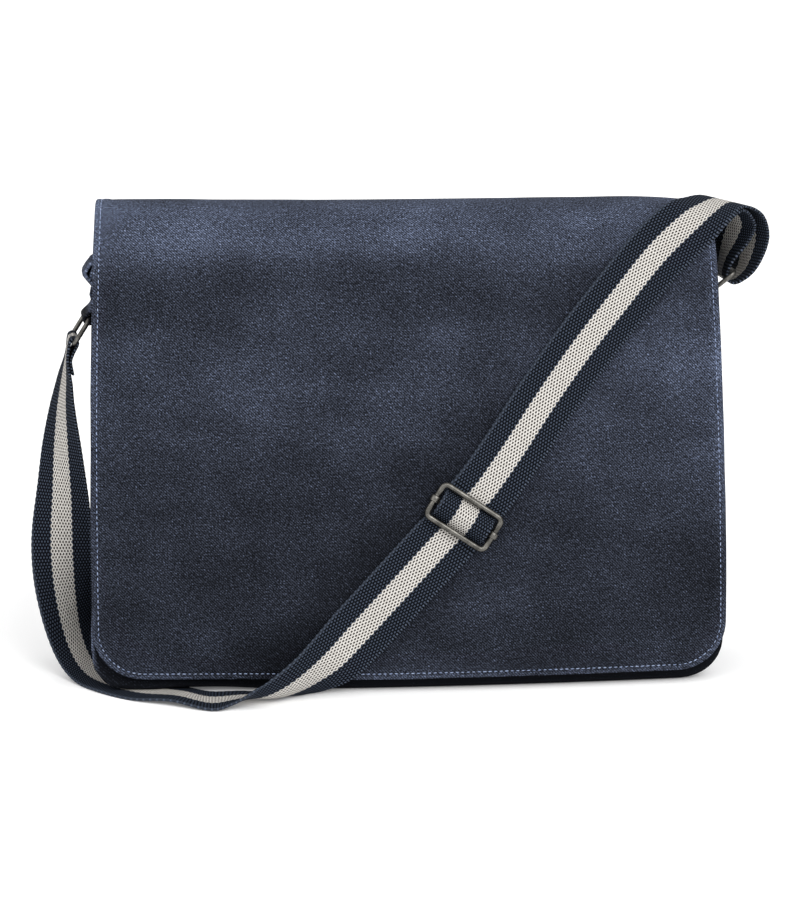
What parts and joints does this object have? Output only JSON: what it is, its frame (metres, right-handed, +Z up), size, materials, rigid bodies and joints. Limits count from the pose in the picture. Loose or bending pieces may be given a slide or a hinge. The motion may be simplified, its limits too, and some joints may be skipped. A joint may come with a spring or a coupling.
{
  "type": "canvas dispatch bag",
  "caption": "Washed navy canvas shoulder bag with a full-length hemmed front flap, a box gusset and a striped webbing strap held by wire rings and a sliding adjuster.",
  "frame": {"origin": "on the floor under the middle of the bag's base", "axes": "+Z up, +X to the right as seen from the front, +Y from the flap's front to the back panel"},
  "size_m": [0.472, 0.1577, 0.3045],
  "materials": {
    "canvas": "washed navy cotton twill canvas, matte",
    "webbing": "woven cotton webbing, navy with a cream middle stripe",
    "wire": "aged nickel-plated wire, satin"
  },
  "bodies": {
    "root": {"front_panel": "canvas", "back_panel": "canvas", "gusset": "canvas", "flap": "canvas", "ring_tab_left": "canvas", "ring_tab_right": "canvas", "strap": "webbing", "ring_left": "wire", "ring_right": "wire", "slider_frame": "wire", "slider_bar": "wire"}
  },
  "joints": []
}
